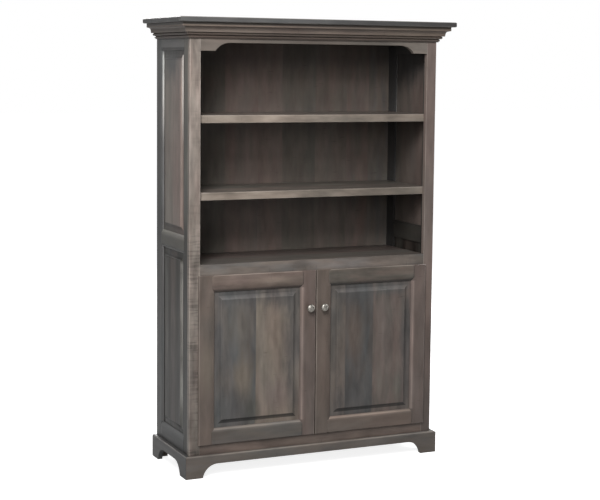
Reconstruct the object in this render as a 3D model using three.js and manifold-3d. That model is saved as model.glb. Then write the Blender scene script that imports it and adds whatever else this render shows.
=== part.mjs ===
// Bookcase with cabinet doors: a stained maple case with framed side panels, an arched valance under a
// coved crown, adjustable shelves over a cabinet with two lipped doors, and a plinth of bracket feet.
// Millimetres, +Z up. The doors face -Y and the origin is on the floor, in the middle of the footprint.
// Every piece is drawn with the face frame's front at y = 0, and the whole case is then centred.

import * as THREE from "three";
import { mergeVertices } from "three/addons/utils/BufferGeometryUtils.js";
import Module from "manifold-3d";

// Whole case
const overallHeight = 1829;
const caseWidth = 1098;
const caseDepth = 391;
const caseLift = 62;
const fitGap = 0.3;
const overrun = 5;

// Top board and crown moulding
const topBoardThickness = 20;
const topOverhang = 60.5;
const topEase = 3;
const crownHeight = 62;
const crownProjection = 44;
const crownFilletHeight = 15.5;
const crownSoffit = 10.5;
const crownCoveDrop = 20;
const crownCoveReach = 8;
const crownCoveGap = 2.5;
const crownUpperBeadRadius = 5.5;
const crownUpperBeadReach = 12.5;
const crownLowerBeadRadius = 4.5;
const crownLowerBeadReach = 5.5;
const crownLipHeight = 2.5;

// Face frame
const frameThickness = 20;
const frameStileWidth = 45;
const frameEase = 2.5;
const archedRailHeight = 110;
const archFlat = 62;
const archRise = 32;
const archRadius = 74;
const middleRailTop = 856;
const middleRailHeight = 50;
const bottomRailTop = 136;

// Plinth and bracket feet
const plinthHeight = 90;
const plinthThickness = 19;
const plinthTopEase = 5;
const footWidth = 72;
const footArchHeight = 54;
const footArchRadius = 64;
const footBlockSize = 36;

// Side frames
const sideThickness = 20;
const sideFrontStileWidth = 51.5;
const sideBackStileWidth = 72;
const sideTopRailHeight = 110;
const sideMiddleRailBottom = 895;
const sideMiddleRailHeight = 73;
const sideBottomRailHeight = 99;

// Sticking, grooves and raised panels, alike in doors and side frames
const stickingWidth = 13;
const stickingDepth = 6.5;
const quirkDepth = 0.4;
const grooveFront = 7.5;
const grooveThickness = 6;
const grooveDepth = 10;
const panelPlay = 1.5;
const bevelWidth = 11.5;
const bevelRise = 0.8;
const panelCoveWidth = 20;
const panelSetback = 0.3;
const memberEase = 1.5;

// Back, decks and shelves
const backThickness = 6;
const backRabbetDepth = 10;
const deckThickness = 20;
const deckDrop = 6;
const shelfThickness = 31;
const cabinetShelfThickness = 20;
const shelfEase = 2;
const shelfPlay = 1.5;
const shelfSetback = 1;
const cabinetShelfSetback = 12;
const upperShelfTop = 1446;
const lowerShelfTop = 1140;
const cabinetShelfTop = 490;
const pinRadius = 3;
const pinProjection = 9;
const pinFrontInset = 25;
const pinBackInset = 46;
const pinHoleRadius = 2.6;
const pinHoleDepth = 10;
const pinHolePitch = 40;
const pinHolesEachWay = 2;

// Doors
const doorThickness = 19;
const doorOverlap = 7.5;
const doorClearance = 3;
const doorLipThickness = 9.5;
const doorStandOff = 0.6;
const doorMeetingGap = 4;
const doorMemberWidth = 68;
const doorEdgeRound = 4.5;
const meetingEdgeRound = 2.5;

// Knobs and their screws
const knobRadius = 16.5;
const knobProjection = 27;
const knobBaseRadius = 9;
const knobBaseHeight = 3;
const knobNeckRadius = 6;
const knobNeckHeight = 11;
const knobRimHeight = 17.5;
const knobInset = 29;
const knobHeight = 660;
const knobBoreRadius = 2.3;
const knobBoreDepth = 12;
const screwRadius = 2;
const screwReach = 10;
const screwHeadRadius = 4.5;
const screwHeadHeight = 2.6;
const screwHoleRadius = 2.6;

// Concealed hinges
const hingeInset = 100;
const cupRadius = 17.5;
const cupDepth = 11;
const cupWall = 1.8;
const cupEdgeDistance = 3;
const cupFlangeThickness = 1.2;
const cupFlangeHeight = 58;
const cupFlangeWidth = 20;
const cupFlangeRound = 5;
const armPlateThickness = 1.8;
const armPlateHeight = 50;
const armPlateFront = 3;
const armPlateBack = 33;
const armHeight = 15;
const armBackOffset = 12;
const armDepth = 9;
const armNoseReach = 5;
const armNoseWidth = 9;

// Facets of the round shapes
const stickingSteps = 6;
const coveSteps = 6;
const panelCoveSteps = 5;
const easeSteps = 3;
const beadSteps = 6;
const archSteps = 8;
const knobSides = 28;
const knobSteps = 8;
const cupSides = 32;
const smallSides = 10;

// Places worked out from the sizes
const quarterTurn = Math.PI / 2;
const halfCase = caseWidth / 2;
const caseTop = overallHeight - topBoardThickness - fitGap;
const openingHalf = halfCase - frameStileWidth;
const sideInner = halfCase - sideThickness;
const backFront = caseDepth - backThickness;
const crownBottom = caseTop - crownHeight;
const doorOpeningTop = middleRailTop - middleRailHeight;
const doorTop = doorOpeningTop + doorOverlap;
const doorBottom = bottomRailTop - doorOverlap;
const doorOuter = openingHalf + doorOverlap;
const doorMeeting = doorMeetingGap / 2;
const doorFront = -(doorLipThickness + doorStandOff);
const doorLipWidth = doorOverlap + doorClearance;
const hingeHeights = [doorBottom + hingeInset, doorTop - hingeInset];
const cupCentre = openingHalf - doorClearance - cupEdgeDistance - cupRadius;

const shelves = [
  { name: "upper_shelf", top: upperShelfTop, thickness: shelfThickness, setback: shelfSetback },
  { name: "lower_shelf", top: lowerShelfTop, thickness: shelfThickness, setback: shelfSetback },
  { name: "cabinet_shelf", top: cabinetShelfTop, thickness: cabinetShelfThickness, setback: cabinetShelfSetback },
];

const stain = new THREE.MeshStandardMaterial({ color: 0x6f6760, roughness: 0.5, metalness: 0 });
const pewter = new THREE.MeshStandardMaterial({ color: 0x8d8a84, roughness: 0.35, metalness: 1 });
const nickel = new THREE.MeshStandardMaterial({ color: 0xb9bab8, roughness: 0.3, metalness: 1 });

const wasm = await Module();
wasm.setup();

// Turns a closed geometry into a solid that can be cut and joined.
function toSolid(geometry) {
  const bare = geometry.clone();
  bare.deleteAttribute("normal");
  bare.deleteAttribute("uv");
  const merged = mergeVertices(bare);
  const corners = merged.index.array;
  const faces = [];
  for (let at = 0; at < corners.length; at += 3) {
    const [a, b, c] = [corners[at], corners[at + 1], corners[at + 2]];
    if (a !== b && b !== c && c !== a) {
      faces.push(a, b, c);
    }
  }
  return new wasm.Manifold(new wasm.Mesh({
    numProp: 3,
    vertProperties: new Float32Array(merged.attributes.position.array),
    triVerts: new Uint32Array(faces),
  }));
}

// Turns a solid back into a geometry to draw.
function toGeometry(solid) {
  const { vertProperties, triVerts } = solid.getMesh();
  const geometry = new THREE.BufferGeometry();
  geometry.setAttribute("position", new THREE.BufferAttribute(new Float32Array(vertProperties), 3));
  geometry.setIndex(new THREE.BufferAttribute(new Uint32Array(triVerts), 1));
  geometry.computeVertexNormals();
  return geometry;
}

function piece(name, solid, material = stain) {
  const mesh = new THREE.Mesh(toGeometry(solid), material);
  mesh.name = name;
  return mesh;
}

// Matrix that lays a drawing plane across an axis, so that its own third direction follows that axis.
function across(axis) {
  const x = new THREE.Vector3(1, 0, 0);
  const y = new THREE.Vector3(0, 1, 0);
  const z = new THREE.Vector3(0, 0, 1);
  const bases = { x: [y, z, x], y: [z, x, y], z: [x, y, z] };
  return new THREE.Matrix4().makeBasis(...bases[axis]);
}

// Extrudes an outline along an axis. Outlines are (y, z) along x, (z, x) along y and (x, y) along z.
function prismGeometry(outline, axis, from, to) {
  const shape = new THREE.Shape(outline.map(([u, v]) => new THREE.Vector2(u, v)));
  const geometry = new THREE.ExtrudeGeometry(shape, { depth: to - from, bevelEnabled: false });
  geometry.translate(0, 0, from);
  return geometry.applyMatrix4(across(axis));
}

function prism(outline, axis, from, to) {
  return toSolid(prismGeometry(outline, axis, from, to));
}

function swap(outline) {
  return outline.map(([u, v]) => [v, u]);
}

function box([x0, x1], [y0, y1], [z0, z1]) {
  return prism([[x0, y0], [x1, y0], [x1, y1], [x0, y1]], "z", z0, z1);
}

// Closed solid through a stack of rectangles, each given as [u0, u1, v0, v1, level along the axis].
function stack(axis, rings) {
  const positions = [];
  const faces = [];
  rings.forEach(([u0, u1, v0, v1, level]) => {
    positions.push(u0, v0, level, u1, v0, level, u1, v1, level, u0, v1, level);
  });
  const cornerCount = 4;
  const last = (rings.length - 1) * cornerCount;
  faces.push(0, 2, 1, 0, 3, 2, last, last + 1, last + 2, last, last + 2, last + 3);
  for (let ring = 0; ring + 1 < rings.length; ring += 1) {
    for (let corner = 0; corner < cornerCount; corner += 1) {
      const a = ring * cornerCount + corner;
      const b = ring * cornerCount + ((corner + 1) % cornerCount);
      faces.push(a, b, b + cornerCount, a, b + cornerCount, a + cornerCount);
    }
  }
  const geometry = new THREE.BufferGeometry();
  geometry.setAttribute("position", new THREE.Float32BufferAttribute(positions, 3));
  geometry.setIndex(faces);
  return toSolid(geometry.applyMatrix4(across(axis)));
}

// Turned solid about a line along y through (x, z). The profile is (radius, y) from axis to axis.
function turned(profile, sides, x, y, z) {
  const points = profile.map(([radius, along]) => new THREE.Vector2(radius, along));
  return toSolid(new THREE.LatheGeometry(points, sides).translate(x, y, z));
}

// Round bar along y, from one depth to another.
function bar(radius, sides, x, z, from, to) {
  const geometry = new THREE.CylinderGeometry(radius, radius, to - from, sides);
  return toSolid(geometry.translate(x, (from + to) / 2, z));
}

// Points of an arc in steps, from one angle to another, about a centre.
function arc([u, v], radius, from, to, steps) {
  const points = [];
  for (let step = 0; step <= steps; step += 1) {
    const angle = from + ((to - from) * step) / steps;
    points.push([u + radius * Math.cos(angle), v + radius * Math.sin(angle)]);
  }
  return points;
}

// Arched cut-out in a rail or plinth board, as (across, up) points from its left foot to its right.
// The curve rises from `low` to `high` at each end and meets the straight top at a tangent.
function archOutline(left, right, low, high, radius) {
  const rise = Math.min(high - low, radius);
  const start = Math.acos(1 - rise / radius);
  const run = radius * Math.sin(start);
  const centre = high - radius;
  const leftCurve = arc([left + run, centre], radius, quarterTurn + start, quarterTurn, archSteps);
  const rightCurve = arc([right - run, centre], radius, quarterTurn, quarterTurn - start, archSteps);
  return [...leftCurve, ...rightCurve];
}

// Curved part of the moulded edge that faces a panel, as (across, depth) points.
function stickingCurve(edge, facing) {
  const points = [[edge - facing * stickingWidth, 0]];
  for (let step = 0; step <= stickingSteps; step += 1) {
    const turn = (step / stickingSteps) * quarterTurn;
    points.push([
      edge - facing * stickingWidth * (1 - Math.sin(turn)),
      quirkDepth + (stickingDepth - quirkDepth) * (1 - Math.cos(turn)),
    ]);
  }
  return points;
}

// Moulded and grooved edge, from the face to the back.
function stuckEdge(edge, facing, thickness) {
  const grooveBack = grooveFront + grooveThickness;
  return [
    ...stickingCurve(edge, facing),
    [edge, grooveFront],
    [edge - facing * grooveDepth, grooveFront],
    [edge - facing * grooveDepth, grooveBack],
    [edge, grooveBack],
    [edge, thickness],
  ];
}

// Rounded corner between an edge and the face, as (across, depth) points.
function easedEdge(edge, facing, radius) {
  const points = [];
  for (let step = 0; step <= easeSteps; step += 1) {
    const turn = (step / easeSteps) * quarterTurn;
    points.push([edge - facing * radius * (1 - Math.cos(turn)), radius * (1 - Math.sin(turn))]);
  }
  return points;
}

// Plain or rabbeted outer edge, from the back to the face.
function outerEdge(edge, facing, thickness, rabbet, radius) {
  const inset = edge - facing * rabbet.width;
  const ledge = thickness - rabbet.depth;
  const back = rabbet.width > 0 ? [[inset, thickness], [inset, ledge], [edge, ledge]] : [[edge, thickness]];
  return [...back, ...easedEdge(edge, facing, radius)];
}

const plain = { width: 0, depth: 0 };
const doorRabbet = { width: doorLipWidth, depth: doorThickness - doorLipThickness };
const backRabbet = { width: backThickness + fitGap, depth: backRabbetDepth + fitGap };

// Section of a stile or rail between its outer edge and the edge that faces the panel.
function memberSection(outer, inner, thickness, rabbet = plain, radius = memberEase) {
  const facing = Math.sign(inner - outer);
  return [...stuckEdge(inner, facing, thickness), ...outerEdge(outer, -facing, thickness, rabbet, radius)];
}

// Cuts the end of a rail to fit over the moulded edge of a stile.
function copeCutter(inner, facing, thickness, low, high) {
  const curve = stickingCurve(inner + facing * fitGap, facing).map(([along, depth]) => [along, depth - fitGap]);
  const far = inner - facing * (stickingWidth + overrun);
  const back = thickness + overrun;
  const outline = [...curve, [inner + facing * fitGap, back], [far, back], [far, -fitGap]];
  return prism(outline, "z", low - overrun, high + overrun);
}

// Rail between two stiles, coped over their moulded edges, with stub tongues in their grooves.
function rail(section, left, right, thickness) {
  const heights = section.map(([height]) => height);
  const low = Math.min(...heights);
  const high = Math.max(...heights);
  const reach = grooveDepth - fitGap;
  const blank = prism(swap(section), "x", left - stickingWidth, right + stickingWidth);
  const slab = box(
    [left - reach, right + reach],
    [grooveFront + fitGap, grooveFront + grooveThickness - fitGap],
    [low - overrun, high + overrun],
  );
  const tongue = prism(swap(section), "x", left - reach, right + reach).intersect(slab);
  return blank
    .subtract(copeCutter(left, 1, thickness, low, high))
    .subtract(copeCutter(right, -1, thickness, low, high))
    .add(tongue);
}

// Raised panel with its edges in the grooves around an opening: a bevel, then a cove up to the field.
function raisedPanel([left, right], [low, high]) {
  const tongue = grooveDepth - panelPlay;
  const front = grooveFront + fitGap;
  const back = grooveFront + grooveThickness - fitGap;
  const bevelEnd = front - bevelRise;
  const levels = [
    [-tongue, back],
    [-tongue, front],
    [0, front],
    [bevelWidth, bevelEnd],
  ];
  for (let step = 1; step <= panelCoveSteps; step += 1) {
    const turn = (step / panelCoveSteps) * quarterTurn;
    levels.push([
      bevelWidth + panelCoveWidth * Math.sin(turn),
      bevelEnd - (bevelEnd - panelSetback) * (1 - Math.cos(turn)),
    ]);
  }
  const rings = levels.map(([inset, depth]) => [low + inset, high - inset, left + inset, right - inset, depth]);
  return stack("y", rings.reverse());
}

// Rows of shelf pin holes on the inside of a side stile, with the pins that carry the shelves.
function withPins(stile, x) {
  let result = stile;
  for (const shelf of shelves) {
    const height = shelf.top - shelf.thickness - fitGap - pinRadius;
    const floor = sideThickness - pinHoleDepth;
    for (let step = 1; step <= pinHolesEachWay; step += 1) {
      for (const level of [height - step * pinHolePitch, height + step * pinHolePitch]) {
        result = result.subtract(bar(pinHoleRadius, smallSides, x, level, floor, sideThickness + overrun));
      }
    }
    const pin = bar(pinRadius, smallSides, x, height, sideThickness - pinRadius, sideThickness + pinProjection);
    result = result.add(pin);
  }
  return result;
}

// Side of the case, drawn flat as seen from outside. `hand` is -1 for the left side and 1 for the right.
function side(name, hand) {
  const group = new THREE.Group();
  const frontOuter = hand * (frameThickness + fitGap);
  const frontInner = frontOuter + hand * sideFrontStileWidth;
  const backOuter = hand * caseDepth;
  const backInner = backOuter - hand * sideBackStileWidth;
  const [left, right] = [frontInner, backInner].sort((a, b) => a - b);
  const topRailBottom = caseTop - sideTopRailHeight;
  const middleRailUpper = sideMiddleRailBottom + sideMiddleRailHeight;
  const bottomRailUpper = caseLift + sideBottomRailHeight;
  const frontPinX = frontOuter + hand * pinFrontInset;
  const backPinX = backOuter - hand * pinBackInset;

  const frontSection = memberSection(frontOuter, frontInner, sideThickness);
  const backSection = memberSection(backOuter, backInner, sideThickness, backRabbet);
  const middleSection = [
    ...stuckEdge(middleRailUpper, 1, sideThickness),
    ...stuckEdge(sideMiddleRailBottom, -1, sideThickness).reverse(),
  ];
  const topSection = memberSection(caseTop, topRailBottom, sideThickness);
  const bottomSection = memberSection(caseLift, bottomRailUpper, sideThickness);

  group.add(
    piece(`${name}_front_stile`, withPins(prism(frontSection, "z", caseLift, caseTop), frontPinX)),
    piece(`${name}_back_stile`, withPins(prism(backSection, "z", caseLift, caseTop), backPinX)),
    piece(`${name}_top_rail`, rail(topSection, left, right, sideThickness)),
    piece(`${name}_middle_rail`, rail(middleSection, left, right, sideThickness)),
    piece(`${name}_bottom_rail`, rail(bottomSection, left, right, sideThickness)),
    piece(`${name}_upper_panel`, raisedPanel([left, right], [middleRailUpper, topRailBottom])),
    piece(`${name}_lower_panel`, raisedPanel([left, right], [bottomRailUpper, sideMiddleRailBottom])),
  );
  group.rotation.z = hand * quarterTurn;
  group.position.x = hand * halfCase;
  return group;
}

// Face frame: two stiles with eased outer corners, an arched rail, a middle rail and a bottom rail.
function frameStile(hand) {
  const outer = hand * halfCase;
  const outline = [
    [hand * openingHalf, 0],
    [outer - hand * frameEase, 0],
    [outer, frameEase],
    [outer, frameThickness],
    [hand * openingHalf, frameThickness],
  ];
  return prism(outline, "z", caseLift, caseTop);
}

function frameRail(low, high) {
  const reach = openingHalf - fitGap;
  return box([-reach, reach], [0, frameThickness], [low, high]);
}

function archedRail() {
  const reach = openingHalf - fitGap;
  const low = caseTop - archedRailHeight;
  const arch = archOutline(archFlat - openingHalf, openingHalf - archFlat, low, low + archRise, archRadius);
  const outline = [[-reach, low], ...arch, [reach, low], [reach, caseTop], [-reach, caseTop]];
  return prism(swap(outline), "y", 0, frameThickness);
}

function faceFrame() {
  return [
    piece("frame_left_stile", frameStile(-1)),
    piece("frame_right_stile", frameStile(1)),
    piece("frame_arched_rail", archedRail()),
    piece("frame_middle_rail", frameRail(doorOpeningTop, middleRailTop)),
    piece("frame_bottom_rail", frameRail(caseLift, bottomRailTop)),
  ];
}

// Decks, back and shelves
function deck(top) {
  const reach = sideInner - fitGap;
  return box([-reach, reach], [frameThickness + fitGap, backFront - fitGap], [top - deckThickness, top]);
}

function backPanel() {
  const reach = sideInner + backRabbetDepth;
  return box([-reach, reach], [backFront, caseDepth], [caseLift, caseTop]);
}

function shelfBoard({ top, thickness, setback }) {
  const reach = sideInner - shelfPlay;
  const front = frameThickness + setback;
  const bottom = top - thickness;
  const back = backFront - shelfPlay;
  const outline = [
    [front, bottom + shelfEase],
    [front + shelfEase, bottom],
    [back, bottom],
    [back, top],
    [front + shelfEase, top],
    [front, top - shelfEase],
  ];
  return prism(outline, "x", -reach, reach);
}

function inside() {
  return [
    piece("back_panel", backPanel()),
    piece("sub_top", deck(caseTop)),
    piece("middle_deck", deck(middleRailTop - deckDrop)),
    piece("bottom_deck", deck(bottomRailTop - deckDrop)),
    ...shelves.map((shelf) => piece(shelf.name, shelfBoard(shelf))),
  ];
}

// Moves every corner of a geometry by a rule.
function reshape(geometry, rule) {
  const position = geometry.attributes.position;
  for (let at = 0; at < position.count; at += 1) {
    position.setXYZ(at, ...rule(position.getX(at), position.getY(at), position.getZ(at)));
  }
  return geometry;
}

// Moulding along the front of the case with mitred ends. The profile is (projection, height).
function mitredFront(profile) {
  const outline = profile.map(([projection, height]) => [-projection, height]);
  const run = prismGeometry(outline, "x", -1, 1);
  return toSolid(reshape(run, (x, y, z) => [x * (halfCase - y - fitGap), y, z]));
}

// Moulding along one side of the case, mitred at the front and square at the back.
function mitredSide(profile, hand) {
  const outline = profile.map(([projection, height]) => [height, hand * (halfCase + projection)]);
  const run = prismGeometry(outline, "y", 0, 1);
  return toSolid(reshape(run, (x, y, z) => [x, y > 0 ? caseDepth : fitGap + halfCase - Math.abs(x), z]));
}

// Crown from the case outwards and up: lip, two beads, cove, soffit and fillet.
function crownProfile() {
  const top = crownBottom + crownHeight;
  const filletBottom = top - crownFilletHeight;
  const coveTop = filletBottom - crownCoveGap;
  const coveBottom = coveTop - crownCoveDrop;
  const coveCentre = [crownProjection - crownSoffit, coveBottom];
  const upperBead = coveBottom - crownUpperBeadRadius;
  const lowerBead = crownBottom + crownLipHeight + crownLowerBeadRadius;
  const cove = arc([0, 0], 1, quarterTurn * 2, quarterTurn, coveSteps).map(([u, v]) => [
    coveCentre[0] + u * crownCoveReach,
    coveCentre[1] + v * crownCoveDrop,
  ]);
  return [
    [fitGap, crownBottom],
    [crownLowerBeadReach, crownBottom],
    ...arc([crownLowerBeadReach, lowerBead], crownLowerBeadRadius, -quarterTurn, quarterTurn, beadSteps),
    ...arc([crownUpperBeadReach, upperBead], crownUpperBeadRadius, -quarterTurn, quarterTurn, beadSteps),
    ...cove,
    [crownProjection, filletBottom],
    [crownProjection, top],
    [fitGap, top],
  ];
}

function topBoard() {
  const reach = halfCase + topOverhang;
  const levels = [[topEase, 0], [0, topEase], [0, topBoardThickness - topEase], [topEase, topBoardThickness]];
  const bottom = overallHeight - topBoardThickness;
  return stack("z", levels.map(([inset, height]) => [
    inset - reach, reach - inset, inset - topOverhang, caseDepth - inset, bottom + height,
  ]));
}

function crown() {
  const profile = crownProfile();
  return [
    piece("top_board", topBoard()),
    piece("crown_front", mitredFront(profile)),
    piece("crown_left", mitredSide(profile, -1)),
    piece("crown_right", mitredSide(profile, 1)),
  ];
}

// Plinth boards with arched cut-outs that leave a bracket foot at each corner, and glue blocks inside.
function plinthProfile() {
  const outer = fitGap + plinthThickness;
  return [
    [fitGap, 0],
    [outer, 0],
    [outer, plinthHeight - plinthTopEase],
    [outer - plinthTopEase, plinthHeight],
    [fitGap, plinthHeight],
  ];
}

function footArch(left, right) {
  const below = -overrun;
  const arch = archOutline(left, right, 0, footArchHeight, footArchRadius);
  return [[left, below], ...arch, [right, below]];
}

function plinthFront() {
  const outer = halfCase + fitGap + plinthThickness;
  const arch = swap(footArch(footWidth - outer, outer - footWidth));
  return mitredFront(plinthProfile()).subtract(prism(arch, "y", -plinthThickness - overrun, overrun));
}

function plinthSide(hand) {
  const front = -(fitGap + plinthThickness);
  const outer = hand * (halfCase + plinthThickness + overrun);
  const inner = hand * (halfCase - overrun);
  const [from, to] = [outer, inner].sort((a, b) => a - b);
  const arch = footArch(front + footWidth, caseDepth - footWidth);
  return mitredSide(plinthProfile(), hand).subtract(prism(arch, "x", from, to));
}

function footBlock(hand, front) {
  const xs = [hand * (halfCase - fitGap), hand * (halfCase - fitGap - footBlockSize)].sort((a, b) => a - b);
  return box(xs, [front, front + footBlockSize], [0, caseLift - fitGap]);
}

function plinth() {
  const rear = caseDepth - footBlockSize;
  return [
    piece("plinth_front", plinthFront()),
    piece("plinth_left", plinthSide(-1)),
    piece("plinth_right", plinthSide(1)),
    piece("foot_block_front_left", footBlock(-1, 0)),
    piece("foot_block_front_right", footBlock(1, 0)),
    piece("foot_block_rear_left", footBlock(-1, rear)),
    piece("foot_block_rear_right", footBlock(1, rear)),
  ];
}

// Round knob on its screw, turned about a line along y, with the front of the door at y = 0.
function knob(x) {
  const dome = [[0, -knobProjection]];
  for (let step = 1; step <= knobSteps; step += 1) {
    const turn = (1 - step / knobSteps) * quarterTurn;
    dome.push([knobRadius * Math.cos(turn), -knobRimHeight - (knobProjection - knobRimHeight) * Math.sin(turn)]);
  }
  const profile = [
    ...dome,
    [knobNeckRadius, -knobNeckHeight],
    [knobNeckRadius, -knobBaseHeight - fitGap],
    [knobBaseRadius, -knobBaseHeight],
    [knobBaseRadius, -fitGap],
    [knobBoreRadius, -fitGap],
    [knobBoreRadius, -knobBoreDepth],
    [0, -knobBoreDepth],
  ];
  return turned(profile, knobSides, x, 0, knobHeight);
}

function knobScrew(x) {
  const head = doorThickness + fitGap;
  const profile = [
    [0, -screwReach],
    [screwRadius, -screwReach],
    [screwRadius, head],
    [screwHeadRadius, head],
    [screwHeadRadius, head + screwHeadHeight / 2],
    [screwHeadRadius / 2, head + screwHeadHeight],
    [0, head + screwHeadHeight],
  ];
  return turned(profile, smallSides, x, 0, knobHeight);
}

// Hinge cup sunk in the back of the door stile, with its screw flange, at one height.
function hingeCup(x, height) {
  const seat = doorThickness + fitGap;
  const rim = seat + cupFlangeThickness;
  const floor = seat - cupDepth;
  const shell = bar(cupRadius, cupSides, x, height, floor, rim);
  const hollow = bar(cupRadius - cupWall, cupSides, x, height, floor + cupWall, rim + overrun);
  const [halfWidth, halfHeight] = [cupFlangeWidth / 2, cupFlangeHeight / 2];
  const cut = cupFlangeRound;
  const outline = [
    [height - halfHeight, x - halfWidth + cut],
    [height - halfHeight, x + halfWidth - cut],
    [height - halfHeight + cut, x + halfWidth],
    [height + halfHeight - cut, x + halfWidth],
    [height + halfHeight, x + halfWidth - cut],
    [height + halfHeight, x - halfWidth + cut],
    [height + halfHeight - cut, x - halfWidth],
    [height - halfHeight + cut, x - halfWidth],
  ];
  return prism(outline, "y", seat, rim).add(shell).subtract(hollow);
}

// Hinge arm: a plate on the inner edge of the face frame stile and an arm that reaches into the cup.
// Distances `inward` are measured from the edge of the door opening towards the middle of the case.
function hingeArm(hand, height) {
  const at = (inward) => hand * (openingHalf - inward);
  const plate = [at(fitGap), at(fitGap + armPlateThickness)].sort((a, b) => a - b);
  const base = box(plate, [armPlateFront, armPlateBack], [height - armPlateHeight / 2, height + armPlateHeight / 2]);
  const doorBack = doorFront + doorThickness;
  const cup = openingHalf - cupCentre;
  const [armFront, armBack] = [doorBack + armBackOffset, doorBack + armBackOffset + armDepth];
  const noseFront = doorBack - armNoseReach;
  const outline = [
    [at(fitGap), armFront],
    [at(cup - armNoseWidth), armFront],
    [at(cup - armNoseWidth / 2), noseFront],
    [at(cup + armNoseWidth / 2), noseFront],
    [at(cup + armNoseWidth / 2), armFront],
    [at(cup), armBack],
    [at(fitGap), armBack],
  ];
  const arm = prism(outline, "z", height - armHeight / 2, height + armHeight / 2);
  return base.add(arm);
}

// Door as seen from the front, drawn with its face at y = 0. `hand` is -1 for the left door.
function door(name, hand) {
  const group = new THREE.Group();
  const outer = hand * doorOuter;
  const meeting = hand * doorMeeting;
  const hingeInner = outer - hand * doorMemberWidth;
  const meetingInner = meeting + hand * doorMemberWidth;
  const [left, right] = [hingeInner, meetingInner].sort((a, b) => a - b);
  const topInner = doorTop - doorMemberWidth;
  const bottomInner = doorBottom + doorMemberWidth;
  const knobX = meeting + hand * knobInset;
  const cupX = hand * cupCentre;

  const ledge = doorThickness - doorRabbet.depth;
  const ends = [
    ...swap(easedEdge(doorBottom, -1, doorEdgeRound)).reverse(),
    [ledge, doorBottom],
    [ledge, doorBottom + doorLipWidth],
    [doorThickness, doorBottom + doorLipWidth],
    [doorThickness, doorTop - doorLipWidth],
    [ledge, doorTop - doorLipWidth],
    [ledge, doorTop],
    ...swap(easedEdge(doorTop, 1, doorEdgeRound)),
  ];
  const endShape = prism(ends, "x", -halfCase, halfCase);
  const stile = (section) => prism(section, "z", doorBottom, doorTop).intersect(endShape);

  let hingeStile = stile(memberSection(outer, hingeInner, doorThickness, doorRabbet, doorEdgeRound));
  for (const height of hingeHeights) {
    const floor = doorThickness - cupDepth;
    const bore = bar(cupRadius + fitGap, cupSides, cupX, height, floor, doorThickness + overrun);
    hingeStile = hingeStile.subtract(bore);
  }
  const screwHole = bar(screwHoleRadius, smallSides, knobX, knobHeight, -overrun, doorThickness + overrun);
  const meetingSection = memberSection(meeting, meetingInner, doorThickness, plain, meetingEdgeRound);
  const meetingStile = stile(meetingSection).subtract(screwHole);

  const topSection = memberSection(doorTop, topInner, doorThickness, doorRabbet, doorEdgeRound);
  const bottomSection = memberSection(doorBottom, bottomInner, doorThickness, doorRabbet, doorEdgeRound);
  group.add(
    piece(`${name}_hinge_stile`, hingeStile),
    piece(`${name}_meeting_stile`, meetingStile),
    piece(`${name}_top_rail`, rail(topSection, left, right, doorThickness)),
    piece(`${name}_bottom_rail`, rail(bottomSection, left, right, doorThickness)),
    piece(`${name}_panel`, raisedPanel([left, right], [bottomInner, topInner])),
    piece(`${name}_knob`, knob(knobX), pewter),
    piece(`${name}_knob_screw`, knobScrew(knobX), nickel),
    piece(`${name}_lower_hinge_cup`, hingeCup(cupX, hingeHeights[0]), nickel),
    piece(`${name}_upper_hinge_cup`, hingeCup(cupX, hingeHeights[1]), nickel),
  );
  group.position.y = doorFront;
  return group;
}

function hingeArms(name, hand) {
  return [
    piece(`${name}_lower_hinge_arm`, hingeArm(hand, hingeHeights[0]), nickel),
    piece(`${name}_upper_hinge_arm`, hingeArm(hand, hingeHeights[1]), nickel),
  ];
}

const bookcase = new THREE.Group();
bookcase.add(
  side("side_left", -1),
  side("side_right", 1),
  ...faceFrame(),
  ...inside(),
  ...crown(),
  ...plinth(),
  door("door_left", -1),
  door("door_right", 1),
  ...hingeArms("door_left", -1),
  ...hingeArms("door_right", 1),
);
bookcase.position.y = (topOverhang - caseDepth) / 2;

export default bookcase;
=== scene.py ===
"""Looks, studio and camera for a bookcase with cabinet doors in grey-brown stained maple.

Lengths are in metres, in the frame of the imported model: +Z up, the doors face -Y, and the origin is on
the floor. Every wooden piece has its own seed and stain tones, and the tones are sRGB hex colours.
"""

import math

import bmesh
import bpy
from mathutils import Matrix, Vector

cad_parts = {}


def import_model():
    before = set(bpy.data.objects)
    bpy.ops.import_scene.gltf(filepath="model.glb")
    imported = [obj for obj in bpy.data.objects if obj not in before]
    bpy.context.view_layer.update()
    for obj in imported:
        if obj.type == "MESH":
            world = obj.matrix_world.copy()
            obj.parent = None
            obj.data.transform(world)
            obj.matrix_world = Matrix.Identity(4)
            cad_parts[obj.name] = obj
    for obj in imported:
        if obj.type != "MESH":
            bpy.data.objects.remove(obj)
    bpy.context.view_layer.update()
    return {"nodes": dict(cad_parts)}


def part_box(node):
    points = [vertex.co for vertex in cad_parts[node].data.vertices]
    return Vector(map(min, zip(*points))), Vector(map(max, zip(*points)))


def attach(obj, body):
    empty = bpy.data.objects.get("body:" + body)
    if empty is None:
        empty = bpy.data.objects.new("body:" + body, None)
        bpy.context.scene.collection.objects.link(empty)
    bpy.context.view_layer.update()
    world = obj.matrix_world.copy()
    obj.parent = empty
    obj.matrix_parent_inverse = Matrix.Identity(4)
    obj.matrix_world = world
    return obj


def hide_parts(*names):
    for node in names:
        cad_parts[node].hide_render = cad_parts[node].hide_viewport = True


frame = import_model()

AXES = "xyz"
SIDES = ("left", "right")

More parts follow.
